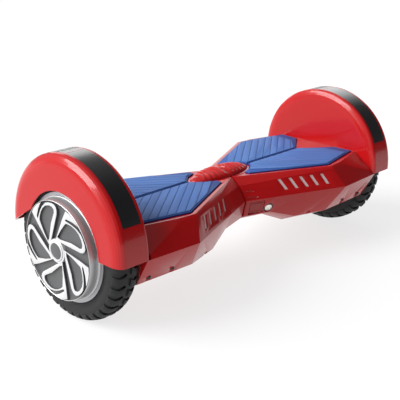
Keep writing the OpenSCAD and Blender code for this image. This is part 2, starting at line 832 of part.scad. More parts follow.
on_side(1) wheel_axle();  // wheel_axle_right
on_side(-1) stator_core();  // stator_core_left
on_side(1) stator_core();  // stator_core_right
on_side(-1) stator_windings();  // stator_windings_left
on_side(1) stator_windings();  // stator_windings_right
on_side(-1) motor_housing();  // motor_housing_left
on_side(1) motor_housing();  // motor_housing_right
on_side(-1) motor_magnets();  // motor_magnets_left
on_side(1) motor_magnets();  // motor_magnets_right
on_side(-1) motor_cover();  // motor_cover_left
on_side(1) motor_cover();  // motor_cover_right
on_side(-1) wheel_bearings();  // wheel_bearings_left
on_side(1) wheel_bearings();  // wheel_bearings_right
on_side(-1) tyre();  // tyre_left
on_side(1) tyre();  // tyre_right
on_side(-1) hub_cover();  // hub_cover_left
on_side(1) hub_cover();  // hub_cover_right
on_side(-1) hub_cap();  // hub_cap_left
on_side(1) hub_cap();  // hub_cap_right
on_side(-1) light_strip(-1);  // light_strip_front_left
on_side(1) light_strip(-1);  // light_strip_front_right
on_side(-1) light_strip(1);  // light_strip_rear_left
on_side(1) light_strip(1);  // light_strip_rear_right
pivot_shaft();
pivot_bushes();
pivot_circlip();
battery_pack();
battery_bracket();
main_board();
speaker();
wiring_harness();
power_button();
button_housing();
charge_socket();
charge_port_cover();
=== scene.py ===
# %% [markdown]
# # A self balancing board with two hub-motor wheels
# The mechanical model is loaded first. Every joint, size and place comes from it, so the pieces made below
# only have to look right: they sit where its parts are and ride on its moving bodies.

# %% Load the mechanical model
import json
import math
import bpy
from mathutils import Matrix, Vector


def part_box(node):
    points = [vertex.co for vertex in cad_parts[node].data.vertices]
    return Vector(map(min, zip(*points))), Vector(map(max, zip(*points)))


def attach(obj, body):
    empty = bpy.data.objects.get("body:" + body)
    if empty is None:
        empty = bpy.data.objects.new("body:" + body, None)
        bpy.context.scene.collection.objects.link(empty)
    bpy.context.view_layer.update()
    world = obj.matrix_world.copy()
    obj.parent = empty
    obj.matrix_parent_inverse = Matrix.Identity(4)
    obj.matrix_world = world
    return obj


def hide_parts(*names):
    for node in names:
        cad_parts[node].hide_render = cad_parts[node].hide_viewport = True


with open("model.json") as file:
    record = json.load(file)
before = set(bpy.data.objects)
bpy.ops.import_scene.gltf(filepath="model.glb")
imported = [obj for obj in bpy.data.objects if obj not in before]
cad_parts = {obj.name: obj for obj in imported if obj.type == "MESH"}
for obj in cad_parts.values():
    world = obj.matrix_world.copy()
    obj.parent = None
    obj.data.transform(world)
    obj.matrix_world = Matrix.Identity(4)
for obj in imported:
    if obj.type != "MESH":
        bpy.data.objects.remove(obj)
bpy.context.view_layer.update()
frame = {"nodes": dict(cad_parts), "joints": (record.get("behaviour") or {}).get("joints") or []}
nodes = frame["nodes"]
mm = 0.001

# %% [markdown]
# ## The camera
# The board is seen from its front left and a little above, from a bit over a metre away. A wide lens up close
# would swell the near wheel, so a long lens stands further back. Two angles and a distance place the camera
# round a point at axle height. It is then turned a degree to the left and slightly down, which centres the board.

# %% Place the camera
VIEW_TURN, VIEW_LIFT = math.radians(-46.8), math.radians(19.3)
VIEW_DISTANCE = 1.28
AIM = Vector((0, 0, 0.1))
AIM_RIGHT, AIM_UP = math.radians(-1.3), math.radians(-0.2)
LENS, SENSOR = 76.0, 36

level = math.cos(VIEW_LIFT)
toward = Vector((math.sin(VIEW_TURN) * level, -math.cos(VIEW_TURN) * level, math.sin(VIEW_LIFT)))
camera = bpy.data.objects.new("camera", bpy.data.cameras.new("camera"))
bpy.context.scene.collection.objects.link(camera)
camera.location = AIM + toward * VIEW_DISTANCE
look = -toward
right = look.cross(Vector((0, 0, 1))).normalized()
up = right.cross(look)
look = (look + math.tan(AIM_RIGHT) * right + math.tan(AIM_UP) * up).normalized()
camera.rotation_euler = look.to_track_quat("-Z", "Y").to_euler()
camera.data.lens = LENS
camera.data.sensor_width = SENSOR
bpy.context.scene.camera = camera
print("Camera at", [round(c, 3) for c in camera.location])

# %% [markdown]
# ## The floor
# A studio floor is a white sheet that runs out of sight. Lamps alone would leave it grey and drop a hard dark
# shadow on it. So the floor is a big plane that takes only part of its white from the lamps and glows with the
# rest, which keeps it white and the shadow faint.

# %% Lay the floor
FLOOR_SIZE = 30
FLOOR_TONE, FLOOR_GLOW = 0.20, 0.75


def deselect():
    if bpy.context.object and bpy.context.object.mode != "OBJECT":
        bpy.ops.object.mode_set(mode="OBJECT")
    bpy.ops.object.select_all(action="DESELECT")


deselect()
bpy.ops.mesh.primitive_plane_add(size=FLOOR_SIZE)
floor = bpy.context.object
floor.name = "floor"
floor_white = bpy.data.materials.new("floor_white")
floor_white.use_nodes = True
white = floor_white.node_tree.nodes["Principled BSDF"].inputs
white["Base Color"].default_value = (FLOOR_TONE, FLOOR_TONE, FLOOR_TONE, 1)
white["Roughness"].default_value = 1.0
white["Emission Color"].default_value = (1, 1, 1, 1)
white["Emission Strength"].default_value = FLOOR_GLOW
white["Specular IOR Level"].default_value = 0.0
floor.data.materials.append(floor_white)
print("Floor is", FLOOR_SIZE, "m wide")

# %% [markdown]
# ## The sky
# Gloss paint shows what stands around it. An even sky would make the board look flat, and a real room would put
# windows in the paint. Here the sky only fades, from bright on the side that the light comes from to nearly dark
# on the other: the dot product of a direction with the light's direction drives a colour ramp.

# %% Brighten one side of the sky
LIGHT_FROM = Vector((-0.70, 0.40, 0.60)).normalized()
SKY_STOPS = ((0.0, (0.08, 0.08, 0.085, 1)), (0.85, (1, 1, 1, 1)))
SKY_STRENGTH = 0.8

world = bpy.data.worlds.new("studio")
bpy.context.scene.world = world
world.use_nodes = True
sky = world.node_tree
where = sky.nodes.new("ShaderNodeTexCoord")
facing = sky.nodes.new("ShaderNodeVectorMath")
facing.operation = "DOT_PRODUCT"
facing.inputs[1].default_value = LIGHT_FROM
ramp = sky.nodes.new("ShaderNodeValToRGB")
for stop, (position, color) in zip(ramp.color_ramp.elements, SKY_STOPS):
    stop.position = position
    stop.color = color
sky.links.new(where.outputs["Generated"], facing.inputs[0])
sky.links.new(facing.outputs["Value"], ramp.inputs["Fac"])
sky.links.new(ramp.outputs["Color"], sky.nodes["Background"].inputs["Color"])
sky.nodes["Background"].inputs["Strength"].default_value = SKY_STRENGTH
print("Sky is brightest towards", [round(c, 2) for c in LIGHT_FROM])

# %% [markdown]
# ## The lamps
# A very wide sun gives the soft main light. A broad panel behind on the right draws the pale reflections on the
# tops of the strips and pads. A long narrow panel on the left is turned about its own beam, so that it lies along
# the near fender's shoulder as one thin highlight.

# %% Hang the lamps
def softbox(name, place, aim, size, power, turn=0):
    lamp = bpy.data.lights.new(name, "AREA")
    lamp.shape = "RECTANGLE"
    lamp.size, lamp.size_y = size
    lamp.energy = power
    holder = bpy.data.objects.new(name, lamp)
    bpy.context.scene.collection.objects.link(holder)
    holder.location = place
    facing = (Vector(aim) - Vector(place)).to_track_quat("-Z", "Y").to_matrix()
    holder.rotation_euler = (facing @ Matrix.Rotation(math.radians(turn), 3, "Z")).to_euler()


def daylight(name, place, strength, spread):
    lamp = bpy.data.lights.new(name, "SUN")
    lamp.energy = strength
    lamp.angle = math.radians(spread)
    holder = bpy.data.objects.new(name, lamp)
    bpy.context.scene.collection.objects.link(holder)
    holder.rotation_euler = (-Vector(place)).to_track_quat("-Z", "Y").to_euler()


daylight("lamp_left", LIGHT_FROM, strength=4.5, spread=45)
softbox("lamp_backdrop", (1.7, 1.6, 1.05), aim=(0, 0, 0.1), size=(3.2, 1.2), power=19)
softbox("lamp_front_left", (-1.6, 0.15, 0.62), aim=(-0.3, 0, 0.1), size=(1.8, 0.14), power=6, turn=-21)
bpy.context.scene.view_settings.view_transform = "Standard"

# %% [markdown]
# ## The shared grain
# No moulded, cast or painted surface is quite even: it has a fine skin, and its gloss drifts a little from place to
# place. Every finish needs both, so they are one node group with its own scale, roughness and amount of change.
# It reads object coordinates, so the pattern stays on the part when the part moves.

# %% Build the grain group
DRIFT_SCALE, DRIFT_DETAIL, FINE_DETAIL = 18, 4, 3


def grain_group():
    group = bpy.data.node_groups.new("grain", "ShaderNodeTree")
    for label, value in (("Scale", 400.0), ("Roughness", 0.5), ("Change", 0.1)):
        group.interface.new_socket(label, in_out="INPUT", socket_type="NodeSocketFloat").default_value = value
    for label in ("Height", "Roughness", "Mask"):
        group.interface.new_socket(label, in_out="OUTPUT", socket_type="NodeSocketFloat")
    start = group.nodes.new("NodeGroupInput")
    end = group.nodes.new("NodeGroupOutput")
    place = group.nodes.new("ShaderNodeTexCoord")
    fine = group.nodes.new("ShaderNodeTexNoise")
    fine.inputs["Detail"].default_value = FINE_DETAIL
    slow = group.nodes.new("ShaderNodeTexNoise")
    slow.inputs["Scale"].default_value = DRIFT_SCALE
    slow.inputs["Detail"].default_value = DRIFT_DETAIL
    spread = group.nodes.new("ShaderNodeMath")
    spread.operation = "MULTIPLY_ADD"
    lower = group.nodes.new("ShaderNodeMath")
    lower.operation = "SUBTRACT"
    lower.inputs[1].default_value = 0.5
    link = group.links.new
    link(place.outputs["Object"], fine.inputs["Vector"])
    link(place.outputs["Object"], slow.inputs["Vector"])
    link(start.outputs["Scale"], fine.inputs["Scale"])
    link(slow.outputs["Fac"], lower.inputs[0])
    link(lower.outputs[0], spread.inputs[0])
    link(start.outputs["Change"], spread.inputs[1])
    link(start.outputs["Roughness"], spread.inputs[2])
    link(fine.outputs["Fac"], end.inputs["Height"])
    link(spread.outputs[0], end.inputs["Roughness"])
    link(slow.outputs["Fac"], end.inputs["Mask"])
    return group


GRAIN = grain_group()
print("Effect group:", GRAIN.name)

# %% [markdown]
# ## The finishes
# One function builds each finish from the grain: the colour drifts between two close tones, the gloss changes
# slowly, and the fine grain feeds a bump. Gloss plastic also gets a clear coat, and metal a metallic base. A value
# that is the same all over a surface is set on the shader itself.

# %% Write the finish builder
GRAIN_DEPTH = 0.3 * mm
COAT_ROUGHNESS = 0.03


def finish(name, color, second, roughness, change, scale, bump, metallic=0.0, coat=0.0, **more):
    material = bpy.data.materials.new(name)
    material.use_nodes = True
    tree = material.node_tree
    shader = tree.nodes["Principled BSDF"]
    grain = tree.nodes.new("ShaderNodeGroup")
    grain.node_tree = GRAIN
    grain.inputs["Scale"].default_value = scale
    grain.inputs["Roughness"].default_value = roughness
    grain.inputs["Change"].default_value = change
    tones = tree.nodes.new("ShaderNodeMix")
    tones.data_type = "RGBA"
    tones.inputs[6].default_value = (*color, 1)
    tones.inputs[7].default_value = (*second, 1)
    relief = tree.nodes.new("ShaderNodeBump")
    relief.inputs["Strength"].default_value = bump
    relief.inputs["Distance"].default_value = GRAIN_DEPTH
    link = tree.links.new
    link(grain.outputs["Mask"], tones.inputs[0])
    link(tones.outputs[2], shader.inputs["Base Color"])
    link(grain.outputs["Roughness"], shader.inputs["Roughness"])
    link(grain.outputs["Height"], relief.inputs["Height"])
    link(relief.outputs["Normal"], shader.inputs["Normal"])
    shader.inputs["Metallic"].default_value = metallic
    shader.inputs["Coat Weight"].default_value = coat
    shader.inputs["Coat Roughness"].default_value = COAT_ROUGHNESS
    for socket, value in more.items():
        shader.inputs[socket.replace("_", " ")].default_value = value
    return material


print("Ready to mix finishes; the grain is", GRAIN_DEPTH / mm, "mm deep")

# %% [markdown]
# ## The mixed finishes
# The outside has gloss red plastic, smoked light strips, blue rubber on the pads, and black tyre rubber. The pads
# have
# three blues: the ribs have the rubber's own blue, and the darker blue of the grooves and the deepest blue of the
# crease and edges are painted shade. The hub cover is plastic with silver paint on its rim and petals. Inside there
# are metals, copper and a green board. After its two tones, a finish has its roughness, how far that changes, the
# grain's scale and the grain's bump.

# %% Mix the finishes
RED = finish("gloss_red", (0.345, 0.004, 0.005), (0.375, 0.006, 0.007), 0.22, 0.06, 900, 0.03,
             coat=0.3, Specular_IOR_Level=0.25)
SMOKE = finish("smoked_strip", (0.004, 0.004, 0.005), (0.009, 0.009, 0.010), 0.3, 0.05, 500, 0.02,
               coat=1.0, Coat_Roughness=0.22)
BLUE = finish("blue_rubber", (0.055, 0.130, 0.36), (0.066, 0.150, 0.395), 0.6, 0.15, 700, 0.25,
              Specular_IOR_Level=0.2)
# A darker blue for the lobes' bases, which show in the grooves and on the lobes' sides: painted shade.
GROOVE_SHADE_BLUE = finish("blue_groove_painted_shade", (0.026, 0.070, 0.25), (0.032, 0.082, 0.28), 0.6, 0.15, 700, 0.2,
                Specular_IOR_Level=0.2)
# The deepest blue, for the tray that shows in the crease and along the pad's edges: painted shade.
DEEP_SHADE_BLUE = finish("blue_crease_painted_shade", (0.008, 0.018, 0.18), (0.011, 0.024, 0.21), 0.6, 0.1, 700, 0.2, Specular_IOR_Level=0.2)
TYRE = finish("tyre_rubber", (0.007, 0.0075, 0.008), (0.014, 0.0145, 0.015), 0.62, 0.2, 500, 0.35,
              Specular_IOR_Level=0.35)
SILVER = finish("bright_metal", (0.50, 0.50, 0.51), (0.58, 0.58, 0.59), 0.42, 0.1, 1500, 0.04, metallic=0.8)
SATIN = finish("satin_silver", (0.52, 0.52, 0.53), (0.57, 0.57, 0.58), 0.32, 0.08, 1500, 0.03, metallic=0.3)
PETAL = finish("petal_grey", (0.055, 0.056, 0.058), (0.070, 0.071, 0.073), 0.42, 0.1, 800, 0.15)
BLACK = finish("black_plastic", (0.012, 0.012, 0.012), (0.02, 0.02, 0.02), 0.45, 0.15, 600, 0.2)
LENS_PALE = finish("slot_lens", (0.50, 0.38, 0.38), (0.58, 0.45, 0.45), 0.3, 0.1, 500, 0.1, coat=0.4)
ALLOY = finish("cast_alloy", (0.42, 0.42, 0.44), (0.5, 0.5, 0.52), 0.5, 0.15, 500, 0.4, metallic=1.0)
STEEL = finish("machined_steel", (0.52, 0.52, 0.54), (0.6, 0.6, 0.62), 0.3, 0.12, 900, 0.12, metallic=1.0)
DARK_STEEL = finish("black_oxide_steel", (0.04, 0.04, 0.045), (0.06, 0.06, 0.065), 0.4, 0.15, 700, 0.2, metallic=1.0)
BRONZE = finish("sintered_bronze", (0.48, 0.28, 0.12), (0.55, 0.34, 0.16), 0.4, 0.1, 700, 0.2, metallic=1.0)
COPPER = finish("copper_wire", (0.6, 0.24, 0.1), (0.68, 0.3, 0.14), 0.35, 0.1, 900, 0.3, metallic=1.0)
BOARD = finish("green_board", (0.01, 0.12, 0.04), (0.015, 0.16, 0.055), 0.35, 0.1, 900, 0.1, coat=0.3)
WRAP = finish("blue_wrap", (0.02, 0.06, 0.3), (0.03, 0.08, 0.36), 0.3, 0.1, 200, 0.3, coat=0.5)
FLAP = finish("red_rubber", (0.26, 0.006, 0.007), (0.29, 0.009, 0.010), 0.4, 0.1, 700, 0.2)
CHROME = finish("polished_metal", (0.78, 0.76, 0.70), (0.84, 0.82, 0.76), 0.14, 0.05, 1500, 0.02, metallic=1.0)
print("Finishes:", len(bpy.data.materials))

# %% [markdown]
# ## Finishes on the mechanical parts
# Fenders, strips, lenses and all that is inside already have their real shape in the mechanical model. Making them
# again would only risk a misfit, so they keep their shape and get a finish, found by the start of the part's name.

# %% Dress the mechanical parts
FINISH_OF = {
    "frame": ALLOY, "pivot_shaft": STEEL, "pivot_bushes": BRONZE, "pivot_circlip": DARK_STEEL, "axle_clamp": STEEL,
    "clamp_screws": DARK_STEEL, "shell_screws": DARK_STEEL, "top_shell": RED, "bottom_shell": RED, "fender": RED,
    "light_strip": SMOKE, "slot_lenses": LENS_PALE, "ribbed_bridge": RED, "foot_pad": BLUE, "pad_switches": BLACK,
    "gyro_board": BOARD, "wheel_axle": STEEL, "stator_core": STEEL, "stator_windings": COPPER, "motor_housing": ALLOY,
    "motor_magnets": DARK_STEEL, "motor_cover": ALLOY, "wheel_bearings": STEEL, "tyre": TYRE, "hub_cover": SILVER,
    "hub_cap": BLACK, "battery_pack": WRAP, "battery_bracket": STEEL, "main_board": BOARD, "speaker": BLACK,
    "wiring_harness": BLACK, "power_button": SILVER, "button_housing": BLACK, "charge_socket": BLACK,
    "charge_port_cover": FLAP,
}
for node_name, node in nodes.items():
    node.data.materials.clear()
    kind = max((k for k in FINISH_OF if node_name.startswith(k)), key=len)
    node.data.materials.append(FINISH_OF[kind])
print("Dressed", len(nodes), "parts")

# %% [markdown]
# ## Helpers for new pieces
# A flat ring of points is the usual start, because most of these mouldings are one outline with a thickness: a
# circle is added, its points are put on the outline, and it is then extruded or spun. Parts on the right are made,
# and their mirror images with their own mesh serve the left. A finished piece has its place put into its mesh,
# shades smooth up to an angle, and is set to ride on a body.

# %% Outline and spin
def outline(name, points, fill=True):
    """A filled or open ring of points, in edit mode and all selected."""
    deselect()
    bpy.ops.mesh.primitive_circle_add(vertices=len(points), radius=0.01, fill_type="NGON" if fill else "NOTHING")
    piece = bpy.context.object
    piece.name = name
    for vertex, point in zip(piece.data.vertices, points):
        vertex.co = point
    bpy.ops.object.mode_set(mode="EDIT")
    bpy.ops.mesh.select_all(action="SELECT")
    return piece


def close_up(merge=0.0):
    """Merge what lies together, turn all faces outwards, and leave edit mode."""
    bpy.ops.mesh.select_all(action="SELECT")
    if merge:
        bpy.ops.mesh.remove_doubles(threshold=merge)
    bpy.ops.mesh.normals_make_consistent(inside=False)
    bpy.ops.object.mode_set(mode="OBJECT")


def spin_round(name, section, centre, steps=96):
    """A solid of revolution about the axle; the section is (radius, distance along X) pairs."""
    points = [(centre.x + out, centre.y, centre.z + radius) for radius, out in section]
    piece = outline(name, points, fill=False)
    bpy.ops.mesh.spin(steps=steps, angle=2 * math.pi, center=centre, axis=(1, 0, 0))
    close_up(merge=1e-5)
    return piece


def turned(name, section, place, out, steps=48):
    """A solid of revolution about the line through place along out."""
    piece = spin_round(name, section, Vector((0, 0, 0)), steps)
    piece.data.transform(Matrix.Translation(place) @ out.to_track_quat("X", "Z").to_matrix().to_4x4())
    return piece


print("Ready to draw, spin and turn")


# %% Modify, join, mirror and hand over
def apply_modifier(piece, kind, **settings):
    modifier = piece.modifiers.new(kind.lower(), kind)
    for name, value in settings.items():
        setattr(modifier, name, value)
    bpy.context.view_layer.objects.active = piece
    bpy.ops.object.modifier_apply(modifier=modifier.name)


def bevel(piece, width, segments, angle, **settings):
    apply_modifier(piece, "BEVEL", width=width, segments=segments, limit_method="ANGLE",
                   angle_limit=math.radians(angle), **settings)


def boolean(piece, cutter, operation):
    apply_modifier(piece, "BOOLEAN", object=cutter, operation=operation, solver="EXACT")
    bpy.data.objects.remove(cutter)


def join(pieces, name):
    deselect()
    for piece in pieces:
        piece.select_set(True)
    bpy.context.view_layer.objects.active = pieces[0]
    bpy.ops.object.join()
    pieces[0].name = name
    pieces[0].data.name = name
    return pieces[0]


def own_copy(source, name):
    copy = bpy.data.objects.new(name, source.data.copy())
    bpy.context.scene.collection.objects.link(copy)
    return copy


def mirror_copy(piece, name, axis=0):
    copy = own_copy(piece, name)
    flip = Vector((1, 1, 1))
    flip[axis] = -1
    copy.data.transform(Matrix.Diagonal((*flip, 1)))
    copy.data.flip_normals()
    return copy


def hand_over(piece, body, stands_for, smooth=35):
    deselect()
    piece.select_set(True)
    bpy.context.view_layer.objects.active = piece
    bpy.ops.object.transform_apply(location=True, rotation=True, scale=True)
    bpy.ops.object.shade_smooth_by_angle(angle=math.radians(smooth))
    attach(piece, body)
    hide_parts(stands_for)
    print(piece.name, "has", len(piece.data.polygons), "faces")


SIDES = (("right", 1, "right_half"), ("left", -1, "left_half"))
low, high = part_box("tyre_right")
WHEEL = (low + high) / 2
TYRE_R = (high.z - low.z) / 2
TYRE_W = high.x - low.x
print("Wheel centre", [round(c, 4) for c in WHEEL], "radius", round(TYRE_R, 4))

# %% [markdown]
# ## The shells
# Each half is a clam shell of two gloss plastic mouldings with crisp but slightly rounded folds. The mechanical
# shells already have the folds, the slots and the screw recesses, but their edges are knife sharp and catch no
# light. So a copy of each is merged, its flat areas are dissolved into single faces, and its edges are bevelled.
# Where the halves meet, the rim is drawn in with a steep wall, because the real joint shows as a dark line.

# %% Helpers for the shells
FOLD_R, FOLD_ANGLE = 0.8 * mm, 12
FLATNESS = math.radians(0.6)
SEAM_REACH, SEAM_WALL, SEAM_DRAW = 1.9 * mm, 0.3 * mm, 0.05
WAIST_Z = 102.5 * mm


def rounded_copy(node_name, name, width, angle):
    copy = own_copy(nodes[node_name], name)
    deselect()
    copy.select_set(True)
    bpy.context.view_layer.objects.active = copy
    bpy.ops.mesh.customdata_custom_splitnormals_clear()
    bpy.ops.object.mode_set(mode="EDIT")
    bpy.ops.mesh.select_all(action="SELECT")
    bpy.ops.mesh.remove_doubles(threshold=1e-6)
    bpy.ops.mesh.dissolve_limited(angle_limit=FLATNESS)
    bpy.ops.object.mode_set(mode="OBJECT")
    bevel(copy, width, 3, angle, use_clamp_overlap=True, miter_outer="MITER_ARC")
    return copy


def open_seam(skin, sign):
    """Draw the rim at the waist in a little, so that the joint between the halves shows as a groove."""
    deselect()
    skin.select_set(True)
    bpy.context.view_layer.objects.active = skin
    bpy.ops.object.mode_set(mode="EDIT")
    for edge in (SEAM_REACH, SEAM_REACH - SEAM_WALL):
        bpy.ops.mesh.select_all(action="SELECT")
        bpy.ops.mesh.bisect(plane_co=(sign * edge, 0, 0), plane_no=(1, 0, 0))
    bpy.ops.object.mode_set(mode="OBJECT")
    for vertex in skin.data.vertices:
        near = min(1, max(0, (SEAM_REACH - abs(vertex.co.x)) / SEAM_WALL))
        shrink = 1 - SEAM_DRAW * near
        vertex.co.y *= shrink
        vertex.co.z = WAIST_Z + (vertex.co.z - WAIST_Z) * shrink


print("The seam at the waist is", round(2 * SEAM_REACH / mm, 1), "mm wide")

# %% [markdown]
# ## Details of the right half's neck
# Only the right half has two short grooves pressed into its neck and a round sink with the button in it. Both are
# cut from the finished skin with a boolean: a thin rod, laid along the slanting face, leaves a groove, and a turned
# dish leaves the sink. A ray from the front finds where the face is. The cutter's finish stays in the cut.

# %% Measure the button and prepare the cuts
NECK_GROOVES = ((4, 19, 118), (4, 22, 110))
GROOVE_R, GROOVE_TIP = 1.3 * mm, 2 * mm
button_joint = next(joint for joint in frame["joints"] if joint["name"] == "power_button_press")
BUTTON_OUT = -Vector(button_joint["axis"]).normalized()
BUTTON_REACH = 3.7  # from the button's middle to its face
low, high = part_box("power_button")
BUTTON_FACE = (low + high) / 2 + BUTTON_OUT * BUTTON_REACH * mm
SINK = [(0, -0.85 * mm), (7.9 * mm, -0.85 * mm), (9.8 * mm, 0.7 * mm), (0, 0.7 * mm)]


def neck_groove(skin, from_x, to_x, height):
    start, stop = (
        skin.ray_cast(Vector((x * mm, -0.3, height * mm)), Vector((0, 1, 0)))[1] for x in (from_x, to_x)
    )
    along = stop - start
    section = [(0, 0), (GROOVE_R, GROOVE_TIP), (GROOVE_R, along.length - GROOVE_TIP), (0, along.length)]
    rod = turned("rod", section, start, along, 12)
    rod.data.materials.append(RED)
    boolean(skin, rod, "DIFFERENCE")


print("Button faces", [round(c, 2) for c in BUTTON_OUT])

# %% Make the four skins
for side, sign, body in SIDES:
    for shell in ("top_shell", "bottom_shell"):
        skin = rounded_copy(f"{shell}_{side}", f"{shell}_skin_{side}", FOLD_R, FOLD_ANGLE)
        open_seam(skin, sign)
        if (shell, side) == ("top_shell", "right"):
            for groove in NECK_GROOVES:
                neck_groove(skin, *groove)
        if (shell, side) == ("bottom_shell", "right"):
            # The sink is painted black: partly the black housing's own colour, partly painted shade in the hole round
            # the button.
            sink = turned("sink", SINK, BUTTON_FACE, BUTTON_OUT)
            sink.data.materials.append(BLACK)
            boolean(skin, sink, "DIFFERENCE")
        hand_over(skin, body, f"{shell}_{side}", smooth=30)

# %% [markdown]
# ## The power button
# A small bright metal cap that a finger presses in. It has a rounded rim, a shallow ring and a domed middle, all of
# them round about one line, so one section is drawn and spun about the line in which the button moves.

# %% Turn the power button
BUTTON_SECTION = [
    (0, -8.0), (5.9, -8.0), (5.9, -0.4), (5.6, 0.2), (5.1, 0.45), (4.6, 0.4),
    (4.3, -0.2), (3.9, -0.3), (3.0, 0.2), (1.6, 0.5), (0, 0.58),
]
button = turned("button_cap", [(r * mm, out * mm) for r, out in BUTTON_SECTION], BUTTON_FACE, BUTTON_OUT)
button.data.materials.append(CHROME)
hand_over(button, "button", "power_button", smooth=40)

# %% [markdown]
# ## The charge port cover
# A soft flap on a thin hinge rod keeps dust out of the charge socket. Its outline has two rounded corners and lies
# on the slope of the shell's face. It is drawn in place, extruded to its thickness, and then inset five times: a
# soft edge, a rim, a moat, its floor, and a raised middle. Insets follow the outline, so the moat does too.

# %% Mould the charge port cover
cover_joint = next(joint for joint in frame["joints"] if joint["name"] == "charge_port_cover_hinge")
HINGE = Vector(cover_joint["pos_m"])
COVER_ALONG = -Vector(cover_joint["axis"]).normalized()
FACE_TURN, FACE_LEAN = math.radians(-23.7), math.radians(90 + 17)
COVER_OUT = Matrix.Rotation(FACE_TURN, 3, "Z") @ Matrix.Rotation(FACE_LEAN, 3, "X") @ Vector((0, 0, 1))
COVER_UP = COVER_OUT.cross(COVER_ALONG)
COVER_W, COVER_H, COVER_T, ROD_R = 25 * mm, 20 * mm, 2 * mm, 1 * mm
CORNER_R, CORNER_STEPS = 4.5 * mm, 6
COVER_EDGE = 0.4
COVER_INSETS = ((0.5, COVER_EDGE), (1.6, 0), (0.3, -0.6), (1.5, 0), (0.4, 0.4))


def cover_point(along, down, out):
    return HINGE + COVER_ALONG * along - COVER_UP * down + COVER_OUT * out


cover_outline = [cover_point(-COVER_W / 2, 0, -ROD_R), cover_point(COVER_W / 2, 0, -ROD_R)]
for corner, start in ((1, 0), (-1, 90)):
    for step in range(CORNER_STEPS + 1):
        angle = math.radians(start + 90 / CORNER_STEPS * step)
        along = corner * (COVER_W / 2 - CORNER_R) + CORNER_R * math.cos(angle)
        cover_outline.append(cover_point(along, COVER_H - CORNER_R + CORNER_R * math.sin(angle), -ROD_R))
flap = outline("port_flap", cover_outline)
bpy.ops.mesh.extrude_region_move(TRANSFORM_OT_translate={"value": COVER_OUT * (COVER_T - COVER_EDGE * mm)})
for thickness, depth in COVER_INSETS:
    bpy.ops.mesh.inset(thickness=thickness * mm, depth=depth * mm)
close_up()
rod_section = [(0, 0), (ROD_R, 0), (ROD_R, COVER_W), (0, COVER_W)]
rod = turned("rod", rod_section, cover_point(-COVER_W / 2, 0, 0), COVER_ALONG, 24)
flap = join([flap, rod], "port_flap")
flap.data.materials.append(FLAP)
hand_over(flap, "port_cover", "charge_port_cover", smooth=30)

# %% [markdown]
# ## The foot pads
# Each pad is one moulding of blue rubber in two lobes, with a deep crease along the board between them. Slanting
# ribs, laid out like a herringbone, give grip. A rib that stops at a curved edge is hard to draw by hand, so long
# blocks are laid over a whole lobe and then trimmed to it by one boolean: all of them end on one clean outline.

# %% Helper for flat mouldings
PAD_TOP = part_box("foot_pad_right")[1].z
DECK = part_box("top_shell_right")[1].z
PAD_FLOOR = DECK - 3.0 * mm


def prism(name, plan, bottom, top):
    piece = outline(name, [(x * mm, y * mm, bottom) for x, y in plan])
    bpy.ops.mesh.extrude_region_move(TRANSFORM_OT_translate={"value": (0, 0, top - bottom)})
    close_up()
    return piece


print("Pads stand", round((PAD_TOP - DECK) / mm, 1), "mm above the deck")

# %% Mould one lobe
LOBE = [
    (63.2, 1.6), (62.9, 5.4), (47.6, 18.2), (31.0, 24.0), (31.0, 33.4), (150.0, 90.7), (236.6, 71.6), (233.7, 38.9),
    (184.6, 1.6),
]
RIBBED_AREA = [
    (66, 3.4), (65, 6.6), (49.5, 20.2), (33.5, 25.6), (33.5, 32.4), (149.8, 88.2), (218.0, 73.2), (214.0, 34.0),
    (185, 5.4), (181.5, 3.4),
]
RIB_COUNT, RIB_FIRST, RIB_PITCH, RIB_TURN = 13, 20, 17.5, math.radians(38)
RIB_L, RIB_W, RIB_H = 220 * mm, 10.2 * mm, 4 * mm
LOBE_FOOT, RIB_RISE = 0.3 * mm, 1.2 * mm


def make_rib(x):
    deselect()
    bpy.ops.mesh.primitive_cube_add(size=1)
    bar = bpy.context.object
    bar.data.transform(Matrix.Diagonal((RIB_L, RIB_W, RIB_H, 1)))
    bar.data.transform(Matrix.Translation((RIB_L / 2, 0, 0)))
    bar.data.transform(Matrix.Rotation(RIB_TURN, 4, "Z"))
    bar.data.transform(Matrix.Translation((x, 0, PAD_TOP - RIB_H / 2)))
    return bar


def make_lobe():
    base = prism("lobe", LOBE, DECK + LOBE_FOOT, PAD_TOP - RIB_RISE)
    # The base shows only between the ribs and on the lobe's sides; its darker blue is painted shade.
    base.data.materials.append(GROOVE_SHADE_BLUE)
    bevel(base, 0.8 * mm, 2, 40)
    ribs = join([make_rib((RIB_FIRST + RIB_PITCH * step) * mm) for step in range(RIB_COUNT)], "ribs")
    boolean(ribs, prism("region", RIBBED_AREA, DECK, PAD_TOP), "INTERSECT")
    ribs.data.materials.clear()
    ribs.data.materials.append(BLUE)
    bevel(ribs, 0.5 * mm, 2, 40)
    return join([base, ribs], "lobe")


rear_lobe = make_lobe()
print("A lobe has", len(rear_lobe.data.polygons), "faces")

# %% Join the lobes on their tray
CREASE = 1.6  # from the lobes' inner edge to the middle of the board, where the tray closes
front_lobe = mirror_copy(rear_lobe, "front_lobe", axis=1)
plan = [(x, y - CREASE if y < 2 else y) for x, y in LOBE]
whole = [p for p in plan if p[1] > 0.5] + [(LOBE[-1][0], 0)] + [(x, -y) for x, y in reversed(plan) if y > 0.5]
tray = prism("tray", whole, PAD_FLOOR, DECK + 0.5 * mm)
# The tray shows in the crease between the lobes and along the pad's edges; its deepest blue is painted shade.
tray.data.materials.append(DEEP_SHADE_BLUE)
pad = join([tray, rear_lobe, front_lobe], "foot_pad_cover_right")
pad_left = mirror_copy(pad, "foot_pad_cover_left")
hand_over(pad, "pad_right", "foot_pad_right")
hand_over(pad_left, "pad_left", "foot_pad_left")

# %% [markdown]
# ## The ribbed bridge
# A low dome of gloss plastic covers the joint at the waist, one half on each side. Its crown carries raised ribs
# that fade out down its flanks. Separate ribs would meet the dome in hard lines, so the dome's own points are
# raised in waves instead: a fine sphere is scaled to the dome, waved, and cut at the deck and at the waist.

